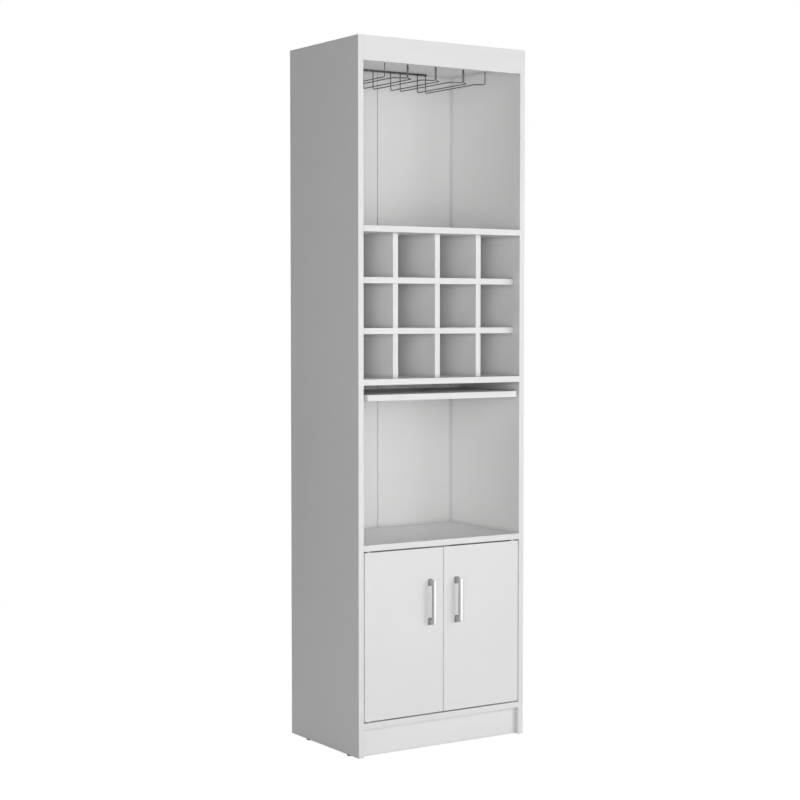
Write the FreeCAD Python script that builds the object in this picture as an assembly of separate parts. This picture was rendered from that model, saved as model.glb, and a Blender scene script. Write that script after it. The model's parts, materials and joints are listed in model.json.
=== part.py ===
import FreeCAD, Part
import math
import os

V = FreeCAD.Vector

# Bar cabinet. Millimetres, +Z up, front towards -Y, origin on the floor under the middle of
# the whole object, handles included.

# Carcass boards
width = 500.0
carcass_depth = 330.0
board = 15.0
edge_radius = 0.6

# Clear heights, from the floor up
glide_height = 4.0
plinth_height = 69.5
door_bay_height = 422.0
open_bay_height = 390.2
rack_bay_height = 358.6
glass_bay_height = 418.2
front_rail_height = 60.0
plinth_recess = 13.0

# Thin back in two halves, let into grooves in the sides
back_thickness = 3.0
back_inset = 19.0
groove_depth = 6.0
groove_fit = 0.1
groove_end_gap = 0.5
back_seam = 2.0
seam_web = 1.8
seam_set_back = 2.2
seam_flange_width = 20.0
seam_flange_thickness = 1.2

# Bottle divider: boards that slot into each other
divider_recess = 28.0
divider_back_gap = 2.0
divider_rows = 3
divider_columns = 4
slot_fit = 0.15
slot_overrun = 5.0

# Dowels and cam fittings
hole_fit = 0.1
hole_spare = 0.5
dowel_radius = 4.0
dowel_shallow = 10.0
dowel_deep = 20.0
cam_radius = 7.4
cam_height = 12.3
cam_reach = 24.0
cam_setback = 40.0
cam_rear_setback = 48.0
cam_dowel_offset = 32.0
cam_slot_width = 1.2
cam_slot_depth = 2.5
bolt_radius = 3.0
bolt_bury = 10.5
bolt_neck_radius = 2.0
bolt_head_radius = 3.0
bolt_head_length = 3.0
bolt_play = 0.6
rail_dowel_side_gap = 85.0
end_dowel_spacing = 30.0
divider_dowel_setback = 40.0
divider_dowel_rear_setback = 48.0

# Screws through the back into the boards' rear edges
back_screw_radius = 1.5
back_screw_length = 15.0
back_screw_head_radius = 3.0
back_screw_head_height = 1.4
back_screw_seam_gap = 60.0
back_screw_side_gap = 35.0

# Nailed glides under the sides
glide_radius = 7.0
glide_edge_radius = 1.2
glide_stem_radius = 1.3
glide_stem_length = 14.0
glide_setback = 55.0
glide_rear_setback = 77.0

# Hanging glass rack of bent wire
rack_bar_radius = 2.5
rack_wire_radius = 1.25
rack_drop = 50.0
rack_front_depth = 37.0
rack_rear_gap = 21.5
rack_nose = 24.0
rack_foot_dip = 2.0
loop_pitch = 84.0
loop_width = 54.4
outer_wire_offset = 137.0
outer_post_offset = 151.0
post_bend = 4.0
rail_bend = 12.0
drop_bend = 6.0
post_pair_gap = 0.1
bar_overhang = 2.0
staple_radius = 0.8
staple_leg = 10.0
staple_offset = 42.0
staple_fit = 0.05

# Pull-out shelf on ball slides
tray_gap = 23.2
tray_front_overhang = 1.5
tray_back_gap = 12.5
slide_space = 10.5
slide_height = 17.0
slide_length = 250.0
slide_setback = 16.0
slide_sheet = 1.0
slide_overlap = 60.0
member_flange_reach = 9.2
member_lip = 1.0
member_lip_width = 1.0
inner_member_height = 8.8
inner_flange_reach = 7.8
ball_radius = 1.2
ball_seat = 5.0
ball_pitch = 13.0
balls_per_row = 4
cage_sheet = 0.4
cage_length = 56.0
cage_standoff = 0.2
cage_flange_reach = 5.6
cage_ball_fit = 0.05
slide_screw_radius = 1.6
slide_screw_head_radius = 2.8
slide_screw_head_depth = 1.6
slide_screw_length = 12.0
slide_screw_setback = 30.0

# Inset doors turning on pins
door_side_gap = 2.6
door_middle_gap = 2.2
door_bottom_gap = 3.0
door_top_gap = 3.4
door_edge_radius = 0.8
hinge_setback = 14.0
pin_radius = 2.5
pin_bury = 10.0
pin_reach = 11.0
collar_radius = 4.5
collar_height = 1.6
bush_radius = 4.0
bush_length = 12.0
bush_flange_radius = 5.5
bush_flange_height = 1.2
bush_running_fit = 0.05

# Bar handles, whose feet widen towards the door
handle_offset = 40.0
handle_drop = 135.7
handle_length = 111.0
handle_width = 7.0
handle_reach = 23.0
handle_bar = 10.0
handle_foot_spacing = 98.6
handle_foot_width = 12.7
handle_foot_height = 18.4
handle_corner_radius = 2.5
handle_front_radius = 1.0
handle_screw_radius = 2.0
handle_screw_bite = 10.0
handle_screw_head_radius = 4.0
handle_screw_head_height = 2.4

# Magnetic catch that holds and stops both doors
catch_width = 44.0
catch_height = 16.0
catch_depth = 17.0
catch_air = 0.3
catch_ear = 9.0
catch_ear_thickness = 2.5
magnet_width = 12.0
magnet_height = 8.0
magnet_depth = 4.0
magnet_offset = 12.0
strike_width = 16.0
strike_height = 14.0
strike_thickness = 1.2
strike_drop = 1.0
small_screw_radius = 1.5
small_screw_head_radius = 2.8
small_screw_head_depth = 1.1
small_screw_length = 11.0

# Places worked out from the sizes above
inner = width / 2 - board
front_y = (handle_reach - carcass_depth) / 2
bottom_panel_z = glide_height + plinth_height
door_bay_z = bottom_panel_z + board
mid_shelf_z = door_bay_z + door_bay_height
open_bay_z = mid_shelf_z + board
rack_bottom_z = open_bay_z + open_bay_height
rack_bay_z = rack_bottom_z + board
rack_top_z = rack_bay_z + rack_bay_height
glass_bay_z = rack_top_z + board
top_panel_z = glass_bay_z + glass_bay_height
front_rail_z = top_panel_z + board / 2 - front_rail_height / 2
side_top_z = front_rail_z + front_rail_height
shelf_depth = carcass_depth - back_inset - back_thickness
back_y = front_y + shelf_depth
cell_height = (rack_bay_height - (divider_rows - 1) * board) / divider_rows
divider_pitch = width / divider_columns
divider_back = shelf_depth - divider_back_gap
divider_middle = (divider_recess + divider_back) / 2
rack_rear_depth = shelf_depth - rack_rear_gap
tray_depth = shelf_depth + tray_front_overhang - tray_back_gap
tray_z = rack_bottom_z - tray_gap - board
tray_half = inner - slide_space
slide_z = tray_z + board / 2
slide_travel = slide_length - slide_overlap
cage_setback = slide_setback + (slide_length - slide_travel - cage_length) / 2 + slide_travel / 2
door_width = (2 * inner - 2 * door_side_gap - door_middle_gap) / 2
door_z = door_bay_z + door_bottom_gap
door_top_z = mid_shelf_z - door_top_gap
hinge_x = inner - door_side_gap - hinge_setback
hinge_y = front_y + board / 2
handle_z = door_top_z - handle_drop

RIGHT = V(1, 0, 0)
BACK = V(0, 1, 0)
UP = V(0, 0, 1)
SIDES = {"left": -1, "right": 1}

# Boards that run between the sides: underside height, and the face that the cams go into
FIXED_BOARDS = {
    "top_panel": (top_panel_z, 1),
    "bottle_rack_top_shelf": (rack_top_z, 1),
    "bottle_rack_bottom_shelf": (rack_bottom_z, -1),
    "mid_shelf": (mid_shelf_z, -1),
    "bottom_panel": (bottom_panel_z, -1),
}
CAM_DEPTHS = (cam_setback, shelf_depth - cam_rear_setback)
DOWEL_DEPTHS = (CAM_DEPTHS[0] + cam_dowel_offset, CAM_DEPTHS[1] - cam_dowel_offset)
DIVIDER_DOWEL_DEPTHS = (
    divider_recess + divider_dowel_setback,
    divider_back - divider_dowel_rear_setback,
)

# Every hole is a tool here, and each board or fitting is cut by the tools that reach it
holes = []
fasteners = {}


def box(x0, x1, y0, y1, z0, z1):
    low_x, low_y, low_z = min(x0, x1), min(y0, y1), min(z0, z1)
    return Part.makeBox(abs(x1 - x0), abs(y1 - y0), abs(z1 - z0), V(low_x, low_y, low_z))


def rod(radius, start, end):
    return Part.makeCylinder(radius, (end - start).Length, start, end - start)


def taper(start_radius, end_radius, start, end):
    return Part.makeCone(start_radius, end_radius, (end - start).Length, start, end - start)


def fused(pieces):
    return pieces[0].fuse(pieces[1:]).removeSplitter()


def eased(solid, radius, wanted):
    return solid.makeFillet(radius, [edge for edge in solid.Edges if wanted(edge)])


def front_edges(solid, direction):
    """Round a board's front edges that run along the direction."""
    front = solid.BoundBox.YMin

    def wanted(edge):
        middle = edge.CenterOfMass
        line = edge.Vertexes[1].Point - edge.Vertexes[0].Point
        return abs(middle.y - front) < edge_radius and abs(line * direction) > board * 2

    return eased(solid, edge_radius, wanted)


def drilled(solid):
    near = [tool for tool in holes if tool.BoundBox.intersect(solid.BoundBox)]
    return solid.cut(near) if near else solid


def fasten(node, solid):
    fasteners.setdefault(node, []).append(solid)


def add_dowel(point, deep_way):
    """A dowel across a joint: its short end one way, its long end the deep way."""
    start = point - deep_way * dowel_shallow
    end = point + deep_way * dowel_deep
    fasten("wood_dowels", rod(dowel_radius, start, end))
    spare = deep_way * hole_spare
    holes.append(rod(dowel_radius + hole_fit, start - spare, end + spare))


def add_cam(side, depth, z, face):
    """A cam in the board and the bolt that it draws in from the side panel."""
    middle = V(side * inner, front_y + depth, z + board / 2)
    inward = RIGHT * -side
    seat = middle + inward * cam_reach
    mouth = seat + UP * (face * board / 2)
    cam = rod(cam_radius, mouth, mouth - UP * (face * cam_height))
    neck_end = seat - inward * bolt_head_length / 2
    bolt_start = middle - inward * bolt_bury
    cam = cam.cut(rod(bolt_neck_radius + bolt_play, middle, seat))
    cam = cam.cut(rod(
        bolt_head_radius + bolt_play,
        neck_end - inward * bolt_play,
        neck_end + inward * (bolt_head_length + bolt_play),
    ))
    slot = box(
        mouth.x - cam_slot_width / 2, mouth.x + cam_slot_width / 2,
        mouth.y - cam_radius / 2, mouth.y + cam_radius / 2,
        mouth.z, mouth.z - face * cam_slot_depth,
    )
    fasten("cam_locks", cam.cut(slot))
    fasten("cam_bolts", fused([
        rod(bolt_radius, bolt_start, middle),
        rod(bolt_neck_radius, middle, neck_end),
        rod(bolt_head_radius, neck_end, neck_end + inward * bolt_head_length),
    ]))
    holes.append(rod(bolt_radius + hole_fit, bolt_start - inward * hole_spare, middle))
    holes.append(rod(bolt_radius + bolt_play, middle, seat))
    holes.append(rod(cam_radius + hole_fit, mouth, mouth - UP * (face * (cam_height + hole_fit))))


def add_flush_screw(node, head_point, way, radius, head_radius, head_depth, length):
    """A countersunk screw whose head lies level with the face that it goes into."""
    neck = head_point + way * head_depth
    tip = head_point + way * length
    fasten(node, fused([taper(head_radius, radius, head_point, neck), rod(radius, neck, tip)]))
    holes.append(taper(head_radius + hole_fit, radius + hole_fit, head_point, neck))
    holes.append(rod(radius + hole_fit, head_point, tip + way * hole_spare))


def add_head_screw(node, face_point, way, radius, head_radius, head_height, length):
    """A round-headed screw whose head sits on the face that it goes into."""
    head = rod(head_radius, face_point - way * head_height, face_point)
    tip = face_point + way * length
    fasten(node, fused([head, rod(radius, face_point, tip)]))
    holes.append(rod(radius + hole_fit, face_point, tip + way * hole_spare))


def place_cabinet_fasteners():
    """Dowels and cams that hold the boards to the sides and to each other."""
    for side in SIDES.values():
        inward = RIGHT * -side
        for z, face in FIXED_BOARDS.values():
            for depth in CAM_DEPTHS:
                add_cam(side, depth, z, face)
            for depth in DOWEL_DEPTHS:
                add_dowel(V(side * inner, front_y + depth, z + board / 2), inward)
        for depth, z in (
            (board / 2, front_rail_z + front_rail_height / 2),
            (plinth_recess + board / 2, glide_height + plinth_height / 2),
        ):
            for step in (-end_dowel_spacing / 2, end_dowel_spacing / 2):
                add_dowel(V(side * inner, front_y + depth, z + step), inward)
        for row in range(1, divider_rows):
            z = rack_bay_z + row * (cell_height + board) - board / 2
            for depth in DIVIDER_DOWEL_DEPTHS:
                add_dowel(V(side * inner, front_y + depth, z), inward)
    outer_dowel = inner - rail_dowel_side_gap
    for x in (-outer_dowel, 0, outer_dowel):
        add_dowel(V(x, front_y + plinth_recess + board / 2, bottom_panel_z), UP * -1)
        add_dowel(V(x, front_y + board, top_panel_z + board / 2), BACK)
    for x in (-divider_pitch, 0, divider_pitch):
        for depth in DIVIDER_DOWEL_DEPTHS:
            add_dowel(V(x, front_y + depth, rack_bay_z), UP)
            add_dowel(V(x, front_y + depth, rack_top_z), UP * -1)


def place_back_screws():
    rear = back_y + back_thickness
    outer = inner - back_screw_side_gap
    for z, _ in FIXED_BOARDS.values():
        for x in (-outer, -back_screw_seam_gap, back_screw_seam_gap, outer):
            add_head_screw(
                "back_panel_screws", V(x, rear, z + board / 2), BACK * -1, back_screw_radius,
                back_screw_head_radius, back_screw_head_height, back_screw_length,
            )


def side_panel(side):
    solid = front_edges(
        box(side * inner, side * width / 2, front_y, front_y + carcass_depth, glide_height, side_top_z),
        UP,
    )
    groove = box(
        side * inner, side * (inner + groove_depth),
        back_y - groove_fit, back_y + back_thickness + groove_fit,
        bottom_panel_z - groove_fit, top_panel_z + board + groove_fit,
    )
    return drilled(solid.cut(groove))


def fixed_board(name):
    z = FIXED_BOARDS[name][0]
    front = front_y + board if name == "top_panel" else front_y
    solid = front_edges(box(-inner, inner, front, back_y, z, z + board), RIGHT)
    return drilled(solid)


def top_front_rail():
    solid = box(-inner, inner, front_y, front_y + board, front_rail_z, side_top_z)
    return drilled(front_edges(solid, RIGHT))


def plinth_board():
    front = front_y + plinth_recess
    solid = box(-inner, inner, front, front + board, glide_height, bottom_panel_z)
    return drilled(front_edges(solid, RIGHT))


def back_half(side):
    solid = box(
        side * back_seam / 2, side * (inner + groove_depth - groove_end_gap),
        back_y, back_y + back_thickness, bottom_panel_z, top_panel_z + board,
    )
    return drilled(solid)


def back_joining_strip():
    """A strip with a T section: its web stands in the seam and its flange lies behind."""
    rear = back_y + back_thickness
    low, high = bottom_panel_z, top_panel_z + board
    web = box(-seam_web / 2, seam_web / 2, back_y + seam_set_back, rear, low, high)
    flange = box(
        -seam_flange_width / 2, seam_flange_width / 2, rear, rear + seam_flange_thickness, low, high,
    )
    return fused([web, flange])


def divider_shelf(row):
    """A level divider board, slotted from behind to pass the uprights."""
    z = rack_bay_z + row * (cell_height + board) - board
    solid = box(-inner, inner, front_y + divider_recess, front_y + divider_back, z, z + board)
    solid = front_edges(solid, RIGHT)
    half_slot = board / 2 + slot_fit
    slots = [
        box(
            x - half_slot, x + half_slot,
            front_y + divider_middle - slot_fit, front_y + divider_back, z, z + board,
        )
        for x in (-divider_pitch, 0, divider_pitch)
    ]
    return drilled(solid.cut(slots))


def divider_upright(x):
    """An upright divider board, slotted from the front to pass the level ones."""
    solid = box(
        x - board / 2, x + board / 2,
        front_y + divider_recess, front_y + divider_back, rack_bay_z, rack_top_z,
    )
    solid = front_edges(solid, UP)
    slots = []
    for row in range(1, divider_rows):
        z = rack_bay_z + row * (cell_height + board) - board
        slots.append(box(
            x - board / 2 - slot_overrun, x + board / 2 + slot_overrun,
            front_y + divider_recess - slot_overrun, front_y + divider_middle + slot_fit,
            z - slot_fit, z + board + slot_fit,
        ))
    return drilled(solid.cut(slots))


def place_glides():
    """Glides with a nail stem, under the front and rear of both sides."""
    for side in SIDES.values():
        for y in (front_y + glide_setback, front_y + carcass_depth - glide_rear_setback):
            foot = V(side * (inner + board / 2), y, 0)
            top = foot + UP * glide_height
            stem_top = top + UP * glide_stem_length
            pad = eased(
                rod(glide_radius, foot, top), glide_edge_radius,
                lambda edge: edge.BoundBox.ZMax < glide_edge_radius,
            )
            fasten("floor_glides", fused([pad, rod(glide_stem_radius, top, stem_top)]))
            holes.append(rod(glide_stem_radius + hole_fit, top, stem_top + UP * hole_spare))


def bent_wire(points, radii, wire_radius):
    """A round wire along straight runs, with an arc of the given radius at each inner point."""
    edges = []
    start = points[0]
    for before, corner, after, radius in zip(points, points[1:], points[2:], radii):
        way_in = (corner - before).normalize()
        way_out = (after - corner).normalize()
        turn = way_in.getAngle(way_out)
        trim = radius * math.tan(turn / 2)
        arc_start = corner - way_in * trim
        arc_end = corner + way_out * trim
        bisector = (way_out - way_in).normalize()
        centre = corner + bisector * (radius / math.cos(turn / 2))
        middle = centre - bisector * radius
        edges.append(Part.LineSegment(start, arc_start).toShape())
        edges.append(Part.Arc(arc_start, middle, arc_end).toShape())
        start = arc_end
    edges.append(Part.LineSegment(start, points[-1]).toShape())
    path = Part.Wire(edges)
    ring = Part.Wire(Part.makeCircle(wire_radius, points[0], points[1] - points[0]))
    return path.makePipeShell([ring], True, False)


def rack_bar_z():
    return top_panel_z - rack_bar_radius


def rack_wire(post_x, rail_x):
    """One wire: down from the front bar, aslant to the rail, back along it and up to the rear bar."""
    top = rack_bar_z() - rack_bar_radius
    rail = top_panel_z - rack_drop
    front = front_y + rack_front_depth
    rear = front_y + rack_rear_depth
    points = [
        V(post_x, front, top), V(post_x, front, rail - rack_foot_dip),
        V(rail_x, front + rack_nose, rail), V(rail_x, rear, rail), V(rail_x, rear, top),
    ]
    return bent_wire(points, [post_bend, rail_bend, drop_bend], rack_wire_radius)


def rack_loop(centre):
    """Two mirrored wires whose front posts stand side by side."""
    post = rack_wire_radius + post_pair_gap / 2
    return Part.makeCompound([
        rack_wire(centre + side * post, centre + side * loop_width / 2)
        for side in SIDES.values()
    ])


def outer_rack_wire(side):
    return rack_wire(side * outer_post_offset, side * outer_wire_offset)


def rack_bar(depth, reach):
    y = front_y + depth
    return rod(rack_bar_radius, V(-reach, y, rack_bar_z()), V(reach, y, rack_bar_z()))


def place_rack_staples():
    """U-shaped staples round both bars, their legs up in the top panel."""
    bend = rack_bar_radius + staple_radius + staple_fit
    for depth in (rack_front_depth, rack_rear_depth):
        for x in (-staple_offset, staple_offset):
            middle = V(x, front_y + depth, rack_bar_z())
            front_leg = middle - BACK * bend
            rear_leg = middle + BACK * bend
            rise = UP * (rack_bar_radius + staple_leg)
            path = Part.Wire([
                Part.LineSegment(front_leg + rise, front_leg).toShape(),
                Part.Arc(front_leg, middle - UP * bend, rear_leg).toShape(),
                Part.LineSegment(rear_leg, rear_leg + rise).toShape(),
            ])
            ring = Part.Wire(Part.makeCircle(staple_radius, front_leg + rise, UP * -1))
            fasten("glass_rack_staples", path.makePipeShell([ring], True, False))
            for leg in (front_leg, rear_leg):
                top = leg + rise + UP * hole_spare
                holes.append(rod(staple_radius + hole_fit, leg + UP * rack_bar_radius, top))


def pull_out_shelf():
    front = front_y - tray_front_overhang
    solid = box(-tray_half, tray_half, front, front + tray_depth, tray_z, tray_z + board)
    return drilled(front_edges(solid, RIGHT))


def slide_bar(side, from_wall, to_wall, low, high, start, length):
    """A box in a slide: distance from the side panel, height about the slide's middle."""
    y = front_y + start
    return box(
        side * (inner - from_wall), side * (inner - to_wall), y, y + length, slide_z + low, slide_z + high,
    )


def slide_cabinet_member(side):
    """The C section on the side panel, with lips that keep the balls in."""
    half = slide_height / 2
    bars = [slide_bar(side, 0, slide_sheet, -half, half, slide_setback, slide_length)]
    for way in (-1, 1):
        edge = way * half
        under = way * (half - slide_sheet)
        lip = way * (half - slide_sheet - member_lip)
        lip_start = member_flange_reach - member_lip_width
        bars.append(slide_bar(side, 0, member_flange_reach, under, edge, slide_setback, slide_length))
        bars.append(slide_bar(
            side, lip_start, member_flange_reach, lip, under, slide_setback, slide_length,
        ))
    return drilled(fused(bars))


def slide_shelf_member(side):
    """The narrower C section on the shelf's edge."""
    half = inner_member_height / 2
    tip = slide_space - inner_flange_reach
    bars = [slide_bar(
        side, slide_space - slide_sheet, slide_space, -half, half, slide_setback, slide_length,
    )]
    for way in (-1, 1):
        bars.append(slide_bar(
            side, tip, slide_space, way * (half - slide_sheet), way * half, slide_setback, slide_length,
        ))
    return drilled(fused(bars))


def ball_height():
    return (slide_height / 2 - slide_sheet + inner_member_height / 2) / 2


def slide_balls(side):
    first = cage_setback + (cage_length - (balls_per_row - 1) * ball_pitch) / 2
    x = side * (inner - ball_seat)
    return [
        Part.makeSphere(
            ball_radius, V(x, front_y + first + count * ball_pitch, slide_z + way * ball_height()),
        )
        for way in (-1, 1)
        for count in range(balls_per_row)
    ]


def slide_ball_cage(side):
    """The strip that keeps the balls apart and travels half as far as the shelf."""
    near = slide_sheet + cage_standoff
    half = ball_height() + cage_sheet / 2
    bars = [slide_bar(side, near, near + cage_sheet, -half, half, cage_setback, cage_length)]
    for way in (-1, 1):
        bars.append(slide_bar(
            side, near, near + cage_flange_reach, way * (half - cage_sheet), way * half,
            cage_setback, cage_length,
        ))
    seats = [
        Part.makeSphere(ball_radius + cage_ball_fit, ball.CenterOfMass) for ball in slide_balls(side)
    ]
    return fused(bars).cut(seats)


def place_slide_screws():
    for side in SIDES.values():
        outward = RIGHT * side
        for place in (slide_screw_setback, slide_length - slide_screw_setback):
            y = front_y + slide_setback + place
            for node, from_wall, way in (
                ("slide_cabinet_screws", slide_sheet, outward),
                ("slide_shelf_screws", slide_space - slide_sheet, outward * -1),
            ):
                add_flush_screw(
                    node, V(side * (inner - from_wall), y, slide_z), way, slide_screw_radius,
                    slide_screw_head_radius, slide_screw_head_depth, slide_screw_length,
                )


def door(side):
    outer = inner - door_side_gap
    solid = box(
        side * outer, side * (outer - door_width), front_y, front_y + board, door_z, door_top_z,
    )
    return drilled(eased(solid, door_edge_radius, lambda edge: True))


def place_hinge_pins():
    """Collared pins in the boards above and below, and the bushes in each door's ends."""
    for name, side in SIDES.items():
        for face_z, way, gap in (
            (door_bay_z, UP, door_bottom_gap), (mid_shelf_z, UP * -1, door_top_gap),
        ):
            face = V(side * hinge_x, hinge_y, face_z)
            collar_end = face + way * collar_height
            door_end = face + way * gap
            tip = door_end + way * pin_reach
            fasten("door_hinge_pins", fused([
                rod(pin_radius, face - way * pin_bury, tip),
                rod(collar_radius, face, collar_end),
            ]))
            holes.append(rod(pin_radius + hole_fit, face - way * (pin_bury + hole_spare), face))
            bush = fused([
                rod(bush_flange_radius, door_end - way * bush_flange_height, door_end),
                rod(bush_radius, door_end, door_end + way * bush_length),
            ])
            bore = rod(
                pin_radius + bush_running_fit,
                door_end - way * bush_flange_height, door_end + way * bush_length,
            )
            fasten(name + "_door_bushes", bush.cut(bore))
            holes.append(rod(
                bush_radius + hole_fit, door_end, door_end + way * (bush_length + hole_spare),
            ))


def rounded_outline(middle, wide, high, radius):
    """A closed upright outline with round corners, square to the depth."""
    arcs = []
    for side, way in ((1, 1), (-1, 1), (-1, -1), (1, -1)):
        centre = middle + RIGHT * (side * (wide / 2 - radius)) + UP * (way * (high / 2 - radius))
        ends = [centre + RIGHT * (side * radius), centre + UP * (way * radius)]
        if side != way:
            ends.reverse()
        bulge = (RIGHT * side + UP * way).normalize() * radius
        arcs.append(Part.Arc(ends[0], centre + bulge, ends[1]).toShape())
    edges = []
    for arc, following in zip(arcs, arcs[1:] + arcs[:1]):
        gap = Part.LineSegment(arc.Vertexes[-1].Point, following.Vertexes[0].Point)
        edges += [arc, gap.toShape()]
    return Part.Wire(edges)


def handle(side):
    """A straight bar with a rounded front, on two feet that widen towards the door."""
    front = front_y - handle_reach
    middle = V(side * handle_offset, front, handle_z)
    outline = rounded_outline(middle, handle_width, handle_length, handle_corner_radius)
    bar = Part.Face(outline).extrude(BACK * handle_bar)
    bar = eased(bar, handle_front_radius, lambda edge: edge.BoundBox.YMax < front + handle_front_radius)
    neck_height = handle_length - handle_foot_spacing
    pieces = [bar]
    for way in (-1, 1):
        foot = middle + UP * (way * handle_foot_spacing / 2)
        neck = foot + BACK * handle_bar
        base = foot + BACK * handle_reach
        pieces.append(Part.makeLoft([
            rounded_outline(neck, handle_width, neck_height, handle_corner_radius),
            rounded_outline(base, handle_foot_width, handle_foot_height, handle_corner_radius),
        ], True, True))
    return drilled(fused(pieces))


def place_handle_screws():
    for name, side in SIDES.items():
        for z in (handle_z - handle_foot_spacing / 2, handle_z + handle_foot_spacing / 2):
            add_head_screw(
                name + "_handle_screws", V(side * handle_offset, front_y + board, z), BACK * -1,
                handle_screw_radius, handle_screw_head_radius, handle_screw_head_height,
                board + handle_screw_bite,
            )


def catch_front():
    return front_y + board + strike_thickness + catch_air


def magnet_seats():
    z = mid_shelf_z - catch_height / 2
    y = catch_front()
    return [
        box(
            side * magnet_offset - magnet_width / 2, side * magnet_offset + magnet_width / 2,
            y, y + magnet_depth, z - magnet_height / 2, z + magnet_height / 2,
        )
        for side in SIDES.values()
    ]


def magnetic_catch_housing():
    """A block with an ear at each end, screwed up under the middle shelf."""
    y = catch_front()
    half = catch_width / 2
    block = box(-half, half, y, y + catch_depth, mid_shelf_z - catch_height, mid_shelf_z)
    ears = box(
        -half - catch_ear, half + catch_ear, y + magnet_depth, y + catch_depth,
        mid_shelf_z - catch_ear_thickness, mid_shelf_z,
    )
    return drilled(fused([block, ears]).cut(magnet_seats()))


def strike_plate(side):
    middle = side * magnet_offset
    top = door_top_z - strike_drop
    y = front_y + board
    solid = box(
        middle - strike_width / 2, middle + strike_width / 2, y, y + strike_thickness,
        top - strike_height, top,
    )
    return drilled(solid)


def place_catch_screws():
    sizes = (small_screw_radius, small_screw_head_radius, small_screw_head_depth)
    y = catch_front() + (magnet_depth + catch_depth) / 2
    ear_middle = (catch_width + catch_ear) / 2
    strike_z = door_top_z - strike_drop - strike_height / 2
    for name, side in SIDES.items():
        ear_face = V(side * ear_middle, y, mid_shelf_z - catch_ear_thickness)
        add_flush_screw("catch_screws", ear_face, UP, *sizes, small_screw_length)
        strike_face = V(side * magnet_offset, front_y + board + strike_thickness, strike_z)
        add_flush_screw(name + "_strike_screw", strike_face, BACK * -1, *sizes, small_screw_length)


def save(node, shape):
    shape.exportStep(os.path.join("parts", node + ".step"))


def main():
    os.makedirs("parts", exist_ok=True)
    place_cabinet_fasteners()
    place_back_screws()
    place_glides()
    place_rack_staples()
    place_slide_screws()
    place_hinge_pins()
    place_handle_screws()
    place_catch_screws()

    for node in FIXED_BOARDS:
        save(node, fixed_board(node))
    save("top_front_rail", top_front_rail())
    save("plinth_board", plinth_board())
    save("back_joining_strip", back_joining_strip())
    save("lower_divider_shelf", divider_shelf(1))
    save("upper_divider_shelf", divider_shelf(2))
    save("centre_divider_upright", divider_upright(0))
    save("glass_rack_front_bar", rack_bar(rack_front_depth, outer_post_offset + bar_overhang))
    save("glass_rack_rear_bar", rack_bar(rack_rear_depth, outer_wire_offset + bar_overhang))
    save("glass_rack_centre_loop", rack_loop(0))
    save("pull_out_shelf", pull_out_shelf())
    save("magnetic_catch_housing", magnetic_catch_housing())
    save("catch_magnets", Part.makeCompound(magnet_seats()))
    for name, side in SIDES.items():
        save(name + "_side_panel", side_panel(side))
        save(name + "_back_panel", back_half(side))
        save(name + "_divider_upright", divider_upright(side * divider_pitch))
        save("glass_rack_" + name + "_loop", rack_loop(side * loop_pitch))
        save("glass_rack_" + name + "_outer_wire", outer_rack_wire(side))
        save(name + "_slide_cabinet_member", slide_cabinet_member(side))
        save(name + "_slide_shelf_member", slide_shelf_member(side))
        save(name + "_slide_ball_cage", slide_ball_cage(side))
        save(name + "_slide_balls", Part.makeCompound(slide_balls(side)))
        save(name + "_door", door(side))
        save(name + "_door_handle", handle(side))
        save(name + "_strike_plate", strike_plate(side))
    for node, solids in fasteners.items():
        save(node, Part.makeCompound(solids))


main()
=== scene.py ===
import json
import math

import bmesh
import bpy
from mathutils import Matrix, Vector


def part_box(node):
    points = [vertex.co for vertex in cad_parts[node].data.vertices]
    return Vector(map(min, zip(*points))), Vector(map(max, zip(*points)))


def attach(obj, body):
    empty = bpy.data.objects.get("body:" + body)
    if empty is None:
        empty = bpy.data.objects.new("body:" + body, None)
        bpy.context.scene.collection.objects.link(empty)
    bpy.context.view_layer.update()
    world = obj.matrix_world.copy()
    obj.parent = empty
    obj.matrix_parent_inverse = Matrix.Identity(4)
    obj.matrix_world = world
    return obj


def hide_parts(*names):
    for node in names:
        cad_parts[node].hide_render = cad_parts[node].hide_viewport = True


MM = 0.001

# Camera: place in metres, heading right of straight ahead and dip below level in degrees
CAMERA_PLACE = Vector((-2.5609, -3.8900, 1.0885))
CAMERA_HEADING = 33.046
CAMERA_DIP = 2.698
CAMERA_LENS = 81.763
CAMERA_SENSOR = 36.0

# Light: a faint sky that brightens over a span of height, and area lamps aimed at one point
SKY_LOW = 0.006
SKY_HIGH = 0.015
SKY_SPAN = (-0.2, 1.0)
LAMP_TARGET = Vector((0.0, 0.0, 0.9))
LAMPS = (
    # name, heading round from the front to the right, rise, distance, size, power in watts
    ("key_lamp", 25.0, -4.0, 8.0, 4.0, 148.8),
    ("low_left_lamp", -33.0, -7.0, 5.0, 2.5, 68.6),
    ("left_fill_lamp", -33.0, 10.0, 5.0, 2.5, 45.8),
    ("near_left_lamp", -35.0, 0.0, 2.6, 2.0, 6.5),
    ("near_right_lamp", 20.0, 0.0, 3.6, 2.0, 10.8),
    ("right_lamp", 48.0, 0.0, 5.0, 2.6, 43.5),
    ("high_right_lamp", 40.0, 30.0, 5.0, 2.6, 18.7),
    ("right_fill_lamp", 90.0, 20.0, 4.5, 2.6, 8.2),
    ("rear_lamp", 172.0, 15.0, 6.0, 3.5, 91.4),
    ("top_lamp", 145.0, 68.0, 4.0, 1.2, 30.0),
)

# Floor: rings that widen outwards, soft shadow near the object and pure white beyond the fade
FLOOR_RADIUS = 9.0
FLOOR_RINGS = 6
FLOOR_RING_POWER = 2
FLOOR_SPOKES = 48
FLOOR_FADE = (0.9, 2.6)
FLOOR_GLOW = 0.93
FLOOR_SHADE = 0.26
FLOOR_BOUNCE = 0.8

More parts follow.
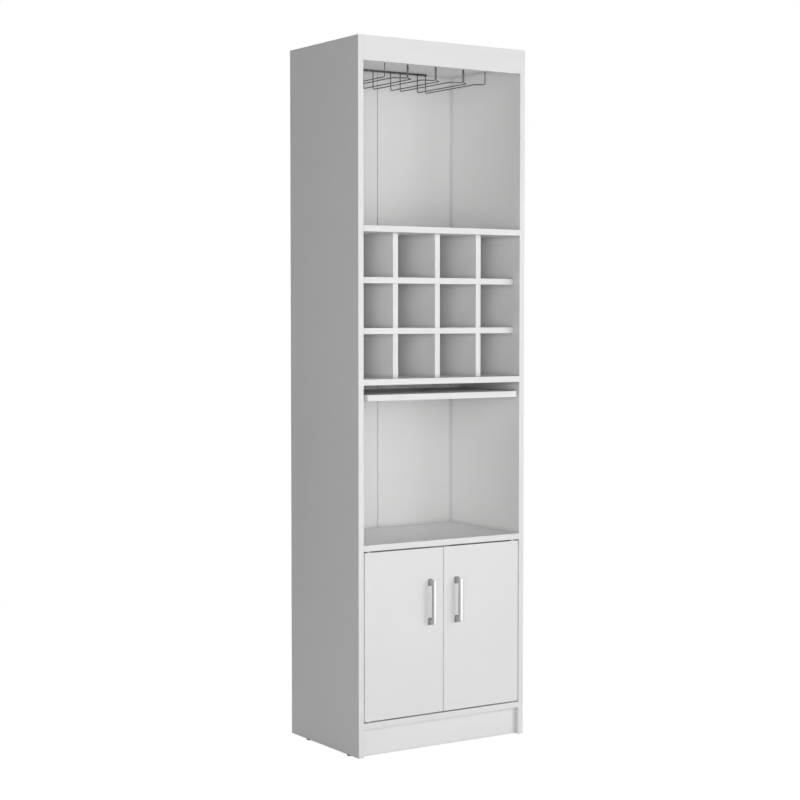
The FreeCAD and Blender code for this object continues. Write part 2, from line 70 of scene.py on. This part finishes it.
# Finishes, as linear colours
WHITE = (0.86, 0.86, 0.857)
WHITE_BACK = (0.85, 0.85, 0.847)
FIBRE = (0.34, 0.21, 0.12)
CHIP = (0.55, 0.42, 0.28)
BEECH = (0.62, 0.42, 0.23)
ZINC = (0.55, 0.55, 0.56)
WIRE = (0.115, 0.115, 0.118)
SATIN = (0.62, 0.62, 0.616)
FERRITE = (0.035, 0.034, 0.036)
DARK = (0.03, 0.03, 0.031)
PLASTIC = (0.78, 0.78, 0.775)
BLACK = (0.0, 0.0, 0.0, 1.0)
PURE_WHITE = (1.0, 1.0, 1.0, 1.0)

# Spans of a noise's values that are stretched to a full range, and an even stretch of its grain
WIDE = (0.3, 0.7)
MIDDLE = (0.35, 0.65)
NARROW = (0.4, 0.6)
PEAKS = (0.55, 0.7)
EVEN = (1.0, 1.0, 1.0)

# Edges, found by how far a rounded normal leans from the flat one
EDGE_SAMPLES = 4
EDGE_SPAN = (0.995, 0.90)

# Corners, found by ambient occlusion, and how much painted shade darkens them
CORNER_REACH = 12 * MM
CORNER_SAMPLES = 8
CORNER_SPAN = (0.45, 1.0)
CORNER_PAINTED_SHADE = 0.20

# Melamine board; each noise is scale per metre, detail and roughness
BOARD_MOTTLE = (6.0, 3.0, 0.55)
BOARD_MOTTLE_SHADES = (0.975, 1.02)
BOARD_PEARL = (1400.0, 2.0, 0.6)
BOARD_PEARL_SHARE = 0.25
BOARD_PEARL_SHADE = 0.95
BOARD_PEARL_BUMP = (0.10, 0.12 * MM)
BOARD_SMEARS = (38.0, 3.0, 0.6)
BOARD_ROUGH = (0.36, 0.46)
BOARD_SPECULAR = 0.4
BOARD_EDGE = 1.2 * MM
BOARD_EDGE_SHARE = 0.35
BOARD_EDGE_SHADE = 1.04
BOARD_EDGE_SMOOTHER = -0.06

# Bare particle board core on the rear edges of the side panels
CORE_DEPTH = 0.4 * MM
CORE_BLEND = 0.2 * MM
CORE_FACING = (0.6, 0.8)
CORE_ROUGHER = 0.4
CORE_CELLS = 420.0
CORE_CELL_SHADES = (0.62, 1.15)
CORE_CHIPS = (700.0, 3.0, 0.6)
CORE_CHIP_SHARE = 0.6
CORE_CHIP_SHADE = 0.8

# Hardboard back: white in front, brown fibre with a screen pattern behind
BACK_BARE_FROM = 1.2 * MM
BACK_BARE_FULL = 0.8 * MM
BACK_MOTTLE = (4.0, 3.0, 0.5)
BACK_GRAIN = (900.0, 3.0, 0.65)
BACK_GRAIN_SHADES = (0.72, 1.22)
BACK_GRAIN_BUMP = (0.12, 0.15 * MM)
BACK_SCREEN = (260.0, 2.0, 0.5)
BACK_SCREEN_STRETCH = (1.0, 1.0, 2.6)
BACK_SCREEN_SHARE = 0.35
BACK_SCREEN_SHADE = 0.85
BACK_ROUGH = (0.46, 0.54)
BACK_BARE_ROUGHER = 0.28
BACK_SPECULAR = 0.35

# Beech dowels
BEECH_GRAIN = (500.0, 4.0, 0.65)
BEECH_GRAIN_STRETCH = (0.25, 1.0, 1.0)
BEECH_GRAIN_SHADES = (0.78, 1.2)
BEECH_GRAIN_BUMP = (0.3, 0.2 * MM)
BEECH_FLECKS = (1500.0, 2.0, 0.5)
BEECH_FLECK_STRETCH = (0.3, 1.0, 1.0)
BEECH_FLECK_SHARE = 0.5
BEECH_FLECK_SHADE = 0.55
BEECH_ROUGH = (0.55, 0.75)

# Metals: colour, roughness, scale and stretch of the brushing, painted shade close to the foot
FOOT_REACH = 22 * MM
METALS = {
    "zinc_steel": (ZINC, (0.24, 0.36), 900.0, EVEN, 0.0),
    "rack_wire": (WIRE, (0.26, 0.38), 1200.0, EVEN, 0.0),
    # The last value paints shade on the handle's feet close to the door
    "satin_metal": (SATIN, (0.26, 0.36), 1100.0, (1.0, 1.0, 0.08), 0.85),
    "magnet": (FERRITE, (0.45, 0.6), 700.0, EVEN, 0.0),
}
METAL_BRUSH_DETAIL = (3.0, 0.6)
METAL_BRUSH_SHARE = 0.4
METAL_BRUSH_SHADE = 0.86
METAL_BRUSH_BUMP = (0.12, 0.05 * MM)
METAL_CLOUD = (90.0, 2.0, 0.5)
METAL_CLOUD_SHADES = (0.93, 1.06)
METAL_EDGE = 0.5 * MM
METAL_EDGE_SHARE = 0.5
METAL_EDGE_SHADE = 1.25

# Plastics: colour and roughness
PLASTICS = {
    "dark_plastic": (DARK, (0.42, 0.58)),
    "white_plastic": (PLASTIC, (0.34, 0.46)),
}
PLASTIC_TEXTURE = (1800.0, 3.0, 0.6)
PLASTIC_TEXTURE_BUMP = (0.2, 0.06 * MM)
PLASTIC_CLOUD = (60.0, 2.0, 0.5)
PLASTIC_CLOUD_SHADES = (0.94, 1.05)
PLASTIC_EDGE = 0.5 * MM
PLASTIC_EDGE_SHARE = 0.4
PLASTIC_EDGE_SHADE = 1.2

# Weld beads on the glass rack: outline as radius and height over the bar's underside
WELD_OUTLINE = (
    (1.20, -1.7), (1.42, -1.35), (1.80, -0.7), (2.02, -0.1), (1.86, 0.5), (1.30, 0.95), (0.0, 1.05),
)
WELD_STEPS = 20
WELD_WOBBLE = 0.035
WELD_PHASE = 1.7
WOBBLE_LOBES = ((3, 1.0, 1), (5, 0.6, 2))  # waves round the bead, weight, times the phase
POST_PAIR_GAP = 0.1  # between the two front posts of a wire loop

# Screws in the back: heads as shares of radius and height, with a cross recess
DOME_SHARES = (
    (0.0, 1.0), (0.30, 0.985), (0.58, 0.91), (0.80, 0.76), (0.94, 0.52), (1.0, 0.24), (0.99, 0.0),
)
SCREW_STEPS = 32
SCREW_SPIN = 0.9
SCREWS_APART = 5 * MM
SHANK_RADIUS = 1.4
SHANK_TIP = 3.0
SHANK_POINT_SHARE = 0.2
RECESS_LENGTH = 3.4
RECESS_WIDTH = 0.8
RECESS_DEPTH = 1.0
RECESS_FLOOR_SHARE = 0.55
SQUARE = ((-1, -1), (1, -1), (1, 1), (-1, 1))

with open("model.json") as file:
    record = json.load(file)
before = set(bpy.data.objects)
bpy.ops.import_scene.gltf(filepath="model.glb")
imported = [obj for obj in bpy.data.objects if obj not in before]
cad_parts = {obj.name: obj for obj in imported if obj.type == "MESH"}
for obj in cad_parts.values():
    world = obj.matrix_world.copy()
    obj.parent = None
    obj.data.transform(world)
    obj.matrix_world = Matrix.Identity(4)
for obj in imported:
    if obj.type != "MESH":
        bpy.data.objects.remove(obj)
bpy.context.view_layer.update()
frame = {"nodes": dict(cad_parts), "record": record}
nodes = frame["nodes"]


def node(tree, kind, inputs=(), **settings):
    """A shader node with its settings, and its inputs by name as values or sockets."""
    made = tree.nodes.new(kind)
    for key, value in settings.items():
        setattr(made, key, value)
    for key, value in dict(inputs).items():
        if isinstance(value, bpy.types.NodeSocket):
            tree.links.new(value, made.inputs[key])
        else:
            made.inputs[key].default_value = value
    return made


def maths(tree, operation, a, b=0.0, clamp=False):
    made = node(tree, "ShaderNodeMath", {0: a, 1: b}, operation=operation, use_clamp=clamp)
    return made.outputs[0]


def mapped(tree, value, span, result, smooth=False):
    """The value with one span stretched to another, and held at its ends."""
    made = node(
        tree, "ShaderNodeMapRange",
        {
            "Value": value, "From Min": span[0], "From Max": span[1],
            "To Min": result[0], "To Max": result[1],
        },
        interpolation_type="SMOOTHSTEP" if smooth else "LINEAR",
    )
    return made.outputs["Result"]


def noise(tree, place, scale, detail, roughness, stretch=EVEN):
    """Noise over the rest place of the piece, in metres, so that it rides with its body."""
    spread = node(tree, "ShaderNodeMapping", {"Vector": place, "Scale": stretch})
    made = node(
        tree, "ShaderNodeTexNoise",
        {"Vector": spread.outputs[0], "Scale": scale, "Detail": detail, "Roughness": roughness},
    )
    return made.outputs["Fac"]


def rgba(colour, factor):
    return tuple(channel * factor for channel in colour) + (1.0,)


def colour_mix(tree, share, first, second):
    """Mixes two linear colours, or the sockets that carry them."""
    made = tree.nodes.new("ShaderNodeMix")
    made.data_type = "RGBA"
    # The colour inputs and output of this node share their names with its other kinds
    for index, value in ((0, share), (6, first), (7, second)):
        if isinstance(value, bpy.types.NodeSocket):
            tree.links.new(value, made.inputs[index])
        else:
            made.inputs[index].default_value = value
    return made.outputs[2]


def shaded(tree, value, base, shades):
    """A base colour that goes from one shade to another with the value."""
    return colour_mix(tree, value, rgba(base, shades[0]), rgba(base, shades[1]))


def new_material(name):
    material = bpy.data.materials.new(name)
    material.use_nodes = True
    tree = material.node_tree
    shader = tree.nodes["Principled BSDF"]
    coordinates = node(tree, "ShaderNodeTexCoord")
    return material, tree, shader, coordinates


def bumped(tree, shader, height, strength, distance):
    values = {"Height": height, "Strength": strength, "Distance": distance}
    bump = node(tree, "ShaderNodeBump", values)
    tree.links.new(bump.outputs[0], shader.inputs["Normal"])


def edge_share(tree, radius):
    """Near 1 on worn convex edges and 0 on open faces."""
    rounded = node(tree, "ShaderNodeBevel", {"Radius": radius}, samples=EDGE_SAMPLES)
    flat = node(tree, "ShaderNodeNewGeometry")
    agree = node(
        tree, "ShaderNodeVectorMath",
        {0: rounded.outputs[0], 1: flat.outputs["Normal"]}, operation="DOT_PRODUCT",
    )
    return mapped(tree, agree.outputs["Value"], EDGE_SPAN, (0.0, 1.0))


def corner_share(tree, reach):
    """Near 1 where two faces meet in a corner and 0 on open faces."""
    open_sky = node(
        tree, "ShaderNodeAmbientOcclusion", {"Distance": reach}, samples=CORNER_SAMPLES
    )
    return mapped(tree, open_sky.outputs["AO"], CORNER_SPAN, (1.0, 0.0))


# Painted shade: the colour goes towards black where the ambient occlusion corner mask is high
def paint_corner_shade(tree, colour, reach, darkening):
    corner = maths(tree, "MULTIPLY", corner_share(tree, reach), darkening)
    return colour_mix(tree, corner, colour, BLACK)


def chip_core(tree, place):
    """Bare particle board: pale and dark chips pressed together."""
    cells = node(tree, "ShaderNodeTexVoronoi", {"Vector": place, "Scale": CORE_CELLS})
    chips = noise(tree, place, *CORE_CHIPS)
    light = shaded(tree, cells.outputs["Distance"], CHIP, CORE_CELL_SHADES)
    dark_share = mapped(tree, chips, MIDDLE, (0.0, CORE_CHIP_SHARE))
    return colour_mix(tree, dark_share, light, rgba(CHIP, CORE_CHIP_SHADE))


def melamine(name, bare_rear=None, loose=False):
    """White melamine: fine pearl texture, faint mottling, edges a little smoother.
    Where bare_rear is given, rear edges behind that depth show the board's core.
    Fixed boards have painted shade that darkens their corners."""
    material, tree, shader, coordinates = new_material(name)
    place = coordinates.outputs["Object"]
    mottle = noise(tree, place, *BOARD_MOTTLE)
    pearl = noise(tree, place, *BOARD_PEARL)
    smears = noise(tree, place, *BOARD_SMEARS)
    edge = edge_share(tree, BOARD_EDGE)
    colour = shaded(tree, mottle, WHITE, BOARD_MOTTLE_SHADES)
    pearl_share = mapped(tree, pearl, WIDE, (0.0, BOARD_PEARL_SHARE))
    colour = colour_mix(tree, pearl_share, colour, rgba(WHITE, BOARD_PEARL_SHADE))
    bright_share = maths(tree, "MULTIPLY", edge, BOARD_EDGE_SHARE)
    colour = colour_mix(tree, bright_share, colour, rgba(WHITE, BOARD_EDGE_SHADE))
    if not loose:
        # Painted shade in the corners of fixed boards
        colour = paint_corner_shade(tree, colour, CORNER_REACH, CORNER_PAINTED_SHADE)
    smoother = maths(tree, "MULTIPLY", edge, BOARD_EDGE_SMOOTHER)
    rough = maths(tree, "ADD", mapped(tree, smears, WIDE, BOARD_ROUGH), smoother)
    if bare_rear is not None:
        across = node(tree, "ShaderNodeSeparateXYZ", {0: place})
        facing = node(tree, "ShaderNodeSeparateXYZ", {0: coordinates.outputs["Normal"]})
        core_span = (bare_rear - CORE_BLEND, bare_rear)
        behind = mapped(tree, across.outputs["Y"], core_span, (0.0, 1.0))
        backward = mapped(tree, facing.outputs["Y"], CORE_FACING, (0.0, 1.0))
        bare = maths(tree, "MULTIPLY", behind, backward)
        colour = colour_mix(tree, bare, colour, chip_core(tree, place))
        rougher = maths(tree, "MULTIPLY", bare, CORE_ROUGHER)
        rough = maths(tree, "ADD", rough, rougher, clamp=True)
    tree.links.new(colour, shader.inputs["Base Color"])
    tree.links.new(rough, shader.inputs["Roughness"])
    shader.inputs["Specular IOR Level"].default_value = BOARD_SPECULAR
    bumped(tree, shader, pearl, *BOARD_PEARL_BUMP)
    return material


def back_board(name, rear_face):
    """Hardboard: lacquered white in front, bare brown fibre behind."""
    material, tree, shader, coordinates = new_material(name)
    place = coordinates.outputs["Object"]
    across = node(tree, "ShaderNodeSeparateXYZ", {0: place})
    bare_span = (rear_face - BACK_BARE_FROM, rear_face - BACK_BARE_FULL)
    bare = mapped(tree, across.outputs["Y"], bare_span, (0.0, 1.0))
    mottle = noise(tree, place, *BACK_MOTTLE)
    grain = noise(tree, place, *BACK_GRAIN)
    screen = noise(tree, place, *BACK_SCREEN, BACK_SCREEN_STRETCH)
    white = shaded(tree, mottle, WHITE_BACK, BOARD_MOTTLE_SHADES)
    # Painted shade in the corners of the back
    white = paint_corner_shade(tree, white, CORNER_REACH, CORNER_PAINTED_SHADE)
    fibre = shaded(tree, mapped(tree, grain, WIDE, (0.0, 1.0)), FIBRE, BACK_GRAIN_SHADES)
    screen_share = mapped(tree, screen, NARROW, (0.0, BACK_SCREEN_SHARE))
    fibre = colour_mix(tree, screen_share, fibre, rgba(FIBRE, BACK_SCREEN_SHADE))
    tree.links.new(colour_mix(tree, bare, white, fibre), shader.inputs["Base Color"])
    rougher = maths(tree, "MULTIPLY", bare, BACK_BARE_ROUGHER)
    rough = maths(tree, "ADD", mapped(tree, grain, WIDE, BACK_ROUGH), rougher)
    tree.links.new(rough, shader.inputs["Roughness"])
    shader.inputs["Specular IOR Level"].default_value = BACK_SPECULAR
    bumped(tree, shader, grain, *BACK_GRAIN_BUMP)
    return material


def beech(name):
    """Bare fluted beech with short flecks along the dowel."""
    material, tree, shader, coordinates = new_material(name)
    place = coordinates.outputs["Object"]
    grain = noise(tree, place, *BEECH_GRAIN, BEECH_GRAIN_STRETCH)
    flecks = noise(tree, place, *BEECH_FLECKS, BEECH_FLECK_STRETCH)
    colour = shaded(tree, grain, BEECH, BEECH_GRAIN_SHADES)
    fleck_share = mapped(tree, flecks, PEAKS, (0.0, BEECH_FLECK_SHARE))
    colour = colour_mix(tree, fleck_share, colour, rgba(BEECH, BEECH_FLECK_SHADE))
    tree.links.new(colour, shader.inputs["Base Color"])
    tree.links.new(mapped(tree, grain, WIDE, BEECH_ROUGH), shader.inputs["Roughness"])
    bumped(tree, shader, grain, *BEECH_GRAIN_BUMP)
    return material


def metal(name, base, rough, brush_scale, brush_stretch, foot_painted_shade):
    """Metal with a fine brushed or plated texture and slightly bright edges.
    Close to the face that it stands on it can be painted darker, as painted shade."""
    material, tree, shader, coordinates = new_material(name)
    place = coordinates.outputs["Object"]
    brushed = noise(tree, place, brush_scale, *METAL_BRUSH_DETAIL, brush_stretch)
    cloud = noise(tree, place, *METAL_CLOUD)
    edge = edge_share(tree, METAL_EDGE)
    colour = shaded(tree, cloud, base, METAL_CLOUD_SHADES)
    brush_share = mapped(tree, brushed, MIDDLE, (0.0, METAL_BRUSH_SHARE))
    colour = colour_mix(tree, brush_share, colour, rgba(base, METAL_BRUSH_SHADE))
    bright_share = maths(tree, "MULTIPLY", edge, METAL_EDGE_SHARE)
    colour = colour_mix(tree, bright_share, colour, rgba(base, METAL_EDGE_SHADE))
    if foot_painted_shade:
        # Painted shade on the feet, close to the face that they stand on
        colour = paint_corner_shade(tree, colour, FOOT_REACH, foot_painted_shade)
    tree.links.new(colour, shader.inputs["Base Color"])
    tree.links.new(mapped(tree, brushed, WIDE, rough), shader.inputs["Roughness"])
    shader.inputs["Metallic"].default_value = 1.0
    bumped(tree, shader, brushed, *METAL_BRUSH_BUMP)
    return material


def plastic(name, base, rough):
    """Moulded plastic with a fine spark-eroded texture."""
    material, tree, shader, coordinates = new_material(name)
    place = coordinates.outputs["Object"]
    texture = noise(tree, place, *PLASTIC_TEXTURE)
    cloud = noise(tree, place, *PLASTIC_CLOUD)
    edge = edge_share(tree, PLASTIC_EDGE)
    colour = shaded(tree, cloud, base, PLASTIC_CLOUD_SHADES)
    bright_share = maths(tree, "MULTIPLY", edge, PLASTIC_EDGE_SHARE)
    colour = colour_mix(tree, bright_share, colour, rgba(base, PLASTIC_EDGE_SHADE))
    tree.links.new(colour, shader.inputs["Base Color"])
    tree.links.new(mapped(tree, texture, WIDE, rough), shader.inputs["Roughness"])
    bumped(tree, shader, texture, *PLASTIC_TEXTURE_BUMP)
    return material


def wear(node_names, material):
    for name in node_names:
        slots = nodes[name].data.materials
        slots.clear()
        slots.append(material)


def dress_frame():
    """Every carried-over node gets the finish of its slot, and some boards one of their own."""
    side_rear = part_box("left_side_panel")[1].y
    back_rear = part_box("left_back_panel")[1].y
    finishes = {
        "white_melamine": melamine("white_melamine"),
        "white_hardboard": back_board("white_hardboard", back_rear),
        "beech": beech("beech"),
    }
    finishes.update((name, metal(name, *row)) for name, row in METALS.items())
    finishes.update((name, plastic(name, *row)) for name, row in PLASTICS.items())
    for row in frame["record"]["subparts"]:
        wear([row["node"]], finishes[row["material_slot"]])
    bare_edged = melamine("white_melamine_bare_rear", bare_rear=side_rear - CORE_DEPTH)
    wear(["left_side_panel", "right_side_panel"], bare_edged)
    loose = melamine("white_melamine_loose", loose=True)
    wear(["left_door", "right_door", "pull_out_shelf"], loose)
    return finishes


def linked(name, data):
    """A new object in the scene."""
    made = bpy.data.objects.new(name, data)
    bpy.context.scene.collection.objects.link(made)
    return made


def mesh_of(name, build):
    mesh = bpy.data.meshes.new(name)
    build.normal_update()
    build.to_mesh(mesh)
    build.free()
    return mesh


def new_piece(name, build, material, body="cabinet"):
    mesh = mesh_of(name, build)
    mesh.materials.append(material)
    piece = linked(name, mesh)
    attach(piece, body)
    return piece


def add_lathe(build, outline, steps, place, wobble=0.0, phase=0.0):
    """Turns an outline of radius and height round +Z; a radius of zero closes it to a point."""
    rings = []
    for radius, height in outline:
        if radius == 0:
            rings.append([build.verts.new(place + Vector((0, 0, height)))])
            continue
        ring = []
        for step in range(steps):
            turn = 2 * math.pi * step / steps
            waves = sum(
                weight * math.sin(lobes * turn + lag * phase)
                for lobes, weight, lag in WOBBLE_LOBES
            )
            spot = Vector((math.cos(turn), math.sin(turn), 0)) * (radius * (1 + wobble * waves))
            ring.append(build.verts.new(place + spot + Vector((0, 0, height))))
        rings.append(ring)
    for below, above in zip(rings, rings[1:]):
        for here in range(steps):
            after = (here + 1) % steps
            if len(above) == 1:
                build.faces.new((below[here], below[after], above[0]))
            elif len(below) == 1:
                build.faces.new((below[0], above[after], above[here]))
            else:
                build.faces.new((below[here], below[after], above[after], above[here]))
    for face in build.faces:
        face.smooth = True


def rack_contacts():
    """Where each wire meets a bar, at the bar's underside."""
    front_low, front_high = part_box("glass_rack_front_bar")
    rear_low, rear_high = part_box("glass_rack_rear_bar")
    front_y = (front_low.y + front_high.y) / 2
    rear_y = (rear_low.y + rear_high.y) / 2
    wire = front_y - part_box("glass_rack_centre_loop")[0].y
    post = wire + POST_PAIR_GAP * MM / 2
    contacts = []
    for name in ("left", "centre", "right"):
        low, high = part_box("glass_rack_" + name + "_loop")
        middle = (low.x + high.x) / 2
        contacts += [Vector((middle + way * post, front_y, front_low.z)) for way in (-1, 1)]
        contacts += [Vector((x, rear_y, rear_low.z)) for x in (low.x + wire, high.x - wire)]
    for name in ("left", "right"):
        low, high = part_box("glass_rack_" + name + "_outer_wire")
        front_x, rear_x = low.x + wire, high.x - wire
        if name == "right":
            front_x, rear_x = rear_x, front_x
        contacts.append(Vector((front_x, front_y, front_low.z)))
        contacts.append(Vector((rear_x, rear_y, rear_low.z)))
    return contacts


def make_welds(material):
    build = bmesh.new()
    outline = [(radius * MM, height * MM) for radius, height in WELD_OUTLINE]
    for count, contact in enumerate(rack_contacts()):
        add_lathe(build, outline, WELD_STEPS, contact, WELD_WOBBLE, WELD_PHASE * count)
    new_piece("glass_rack_welds", build, material)


def clusters(name, apart):
    """The boxes of a node's solids that lie well apart from each other."""
    found = []
    for vertex in nodes[name].data.vertices:
        place = vertex.co
        for low, high in found:
            if all(low[i] - apart <= place[i] <= high[i] + apart for i in range(3)):
                for i in range(3):
                    low[i], high[i] = min(low[i], place[i]), max(high[i], place[i])
                break
        else:
            found.append((place.copy(), place.copy()))
    return found


def recess_cutter(top):
    """Two crossing slots whose walls lean in towards the floor of the recess."""
    build = bmesh.new()
    for long_x in (True, False):
        corners = []
        for height, share in ((top + MM, 1.0), (top - RECESS_DEPTH * MM, RECESS_FLOOR_SHARE)):
            long = RECESS_LENGTH * MM / 2 * share
            wide = RECESS_WIDTH * MM / 2 * (1 + share) / 2
            x, y = (long, wide) if long_x else (wide, long)
            corners += [build.verts.new((sx * x, sy * y, height)) for sx, sy in SQUARE]
        build.faces.new(corners[:4])
        build.faces.new(corners[7:3:-1])
        for here in range(4):
            after = (here + 1) % 4
            sides = (corners[after], corners[here], corners[here + 4], corners[after + 4])
            build.faces.new(sides)
    return linked("recess_cutter", mesh_of("recess_cutter", build))


def screw_mesh(radius, height, length):
    """A pan head over z = 0 with its shank below, and a cross recess cut in."""
    build = bmesh.new()
    shank = SHANK_RADIUS * MM
    outline = [
        (0, -length), (shank * SHANK_POINT_SHARE, -length),
        (shank, -length + SHANK_TIP * MM), (shank, 0),
    ]
    outline += [(radius * wide, height * tall) for wide, tall in reversed(DOME_SHARES)]
    add_lathe(build, outline, SCREW_STEPS, Vector())
    blank = linked("screw", mesh_of("screw", build))
    cutter = recess_cutter(height)
    cut = blank.modifiers.new("recess", "BOOLEAN")
    cut.object = cutter
    cut.solver = "EXACT"
    cut.use_self = True
    cut.operation = "DIFFERENCE"
    graph = bpy.context.evaluated_depsgraph_get()
    finished = bpy.data.meshes.new_from_object(blank.evaluated_get(graph))
    for thing in (blank, cutter):
        bpy.data.objects.remove(thing)
    return finished


def make_back_screws(material):
    """The screws through the back, each turned a little further than the one before."""
    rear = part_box("left_back_panel")[1].y
    places = clusters("back_panel_screws", SCREWS_APART)
    low, high = places[0]
    one = screw_mesh((high.x - low.x) / 2, high.y - rear, rear - low.y)
    build = bmesh.new()
    for count, (low, high) in enumerate(places):
        before = len(build.verts)
        build.from_mesh(one)
        build.verts.ensure_lookup_table()
        cosine, sine = math.cos(SCREW_SPIN * count), math.sin(SCREW_SPIN * count)
        middle = Vector(((low.x + high.x) / 2, rear, (low.z + high.z) / 2))
        for vertex in build.verts[before:]:
            x, y, z = vertex.co
            vertex.co = middle + Vector((x * cosine - y * sine, z, -(x * sine + y * cosine)))
    piece = new_piece("back_screws_with_recess", build, material)
    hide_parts("back_panel_screws")


def seen_share(tree):
    """1 for rays of the camera, of reflections and through glass, and 0 for light."""
    rays = node(tree, "ShaderNodeLightPath")
    seen = maths(tree, "MAXIMUM", rays.outputs["Is Camera Ray"], rays.outputs["Is Glossy Ray"])
    return maths(tree, "MAXIMUM", seen, rays.outputs["Is Transmission Ray"])


def fade_floor_material():
    """A pale floor that turns pure white away from the object and keeps its soft shadow."""
    material = bpy.data.materials.new("studio_floor")
    material.use_nodes = True
    tree = material.node_tree
    tree.nodes.clear()
    out = node(tree, "ShaderNodeOutputMaterial")
    where = node(tree, "ShaderNodeNewGeometry")
    away = node(
        tree, "ShaderNodeVectorMath", {0: where.outputs["Position"]}, operation="LENGTH"
    )
    far = mapped(tree, away.outputs["Value"], FLOOR_FADE, (0.0, 1.0), smooth=True)
    glow = node(tree, "ShaderNodeEmission", {"Color": PURE_WHITE, "Strength": FLOOR_GLOW})
    shade = node(tree, "ShaderNodeBsdfDiffuse", {"Color": (FLOOR_SHADE,) * 3 + (1.0,)})
    near = node(tree, "ShaderNodeAddShader", {0: glow.outputs[0], 1: shade.outputs[0]})
    white = node(tree, "ShaderNodeEmission", {"Color": PURE_WHITE, "Strength": 1.0})
    shown = node(tree, "ShaderNodeMixShader", {0: far, 1: near.outputs[0], 2: white.outputs[0]})
    real = node(tree, "ShaderNodeBsdfDiffuse", {"Color": (FLOOR_BOUNCE,) * 3 + (1.0,)})
    both = node(
        tree, "ShaderNodeMixShader", {0: seen_share(tree), 1: real.outputs[0], 2: shown.outputs[0]}
    )
    tree.links.new(both.outputs[0], out.inputs["Surface"])
    return material


def make_floor():
    build = bmesh.new()
    rings = []
    turns = [2 * math.pi * spoke / FLOOR_SPOKES for spoke in range(FLOOR_SPOKES)]
    for ring in range(1, FLOOR_RINGS + 1):
        radius = FLOOR_RADIUS * (ring / FLOOR_RINGS) ** FLOOR_RING_POWER
        spots = [(radius * math.cos(turn), radius * math.sin(turn), 0.0) for turn in turns]
        rings.append([build.verts.new(spot) for spot in spots])
    build.faces.new(rings[0])
    for inside, outside in zip(rings, rings[1:]):
        for here in range(FLOOR_SPOKES):
            after = (here + 1) % FLOOR_SPOKES
            build.faces.new((inside[here], outside[here], outside[after], inside[after]))
    mesh = mesh_of("studio_floor", build)
    mesh.materials.append(fade_floor_material())
    floor = linked("studio_floor", mesh)


def make_world():
    """White to the camera and in reflections, a soft graded sky as light."""
    world = bpy.data.worlds.new("studio")
    bpy.context.scene.world = world
    world.use_nodes = True
    tree = world.node_tree
    background = tree.nodes["Background"]
    seen = seen_share(tree)
    coordinates = node(tree, "ShaderNodeTexCoord")
    across = node(tree, "ShaderNodeSeparateXYZ", {0: coordinates.outputs["Generated"]})
    sky = mapped(tree, across.outputs["Z"], SKY_SPAN, (SKY_LOW, SKY_HIGH))
    lit = maths(tree, "MULTIPLY", sky, maths(tree, "SUBTRACT", 1.0, seen))
    background.inputs["Color"].default_value = PURE_WHITE
    tree.links.new(maths(tree, "ADD", lit, seen), background.inputs["Strength"])


def aim(thing, way):
    """Turns a lamp or the camera to look along a direction."""
    thing.rotation_mode = "QUATERNION"
    thing.rotation_quaternion = way.to_track_quat("-Z", "Y")


def make_lamps():
    for name, heading, rise, distance, size, power in LAMPS:
        turn, tilt = math.radians(heading), math.radians(rise)
        flat = math.cos(tilt)
        way = Vector((math.sin(turn) * flat, -math.cos(turn) * flat, math.sin(tilt)))
        data = bpy.data.lights.new(name, "AREA")
        data.shape = "SQUARE"
        data.size = size
        data.energy = power
        lamp = linked(name, data)
        lamp.visible_camera = False
        lamp.location = LAMP_TARGET + way * distance
        aim(lamp, -way)


def make_camera():
    turn, tilt = math.radians(CAMERA_HEADING), math.radians(CAMERA_DIP)
    flat = math.cos(tilt)
    ahead = Vector((math.sin(turn) * flat, math.cos(turn) * flat, -math.sin(tilt)))
    data = bpy.data.cameras.new("camera")
    data.sensor_width = CAMERA_SENSOR
    data.lens = CAMERA_LENS
    camera = linked("camera", data)
    camera.location = CAMERA_PLACE
    aim(camera, ahead)
    bpy.context.scene.camera = camera


finishes = dress_frame()
make_welds(finishes["rack_wire"])
make_back_screws(finishes["zinc_steel"])
make_floor()
make_world()
make_lamps()
make_camera()
bpy.context.scene.view_settings.view_transform = "Standard"
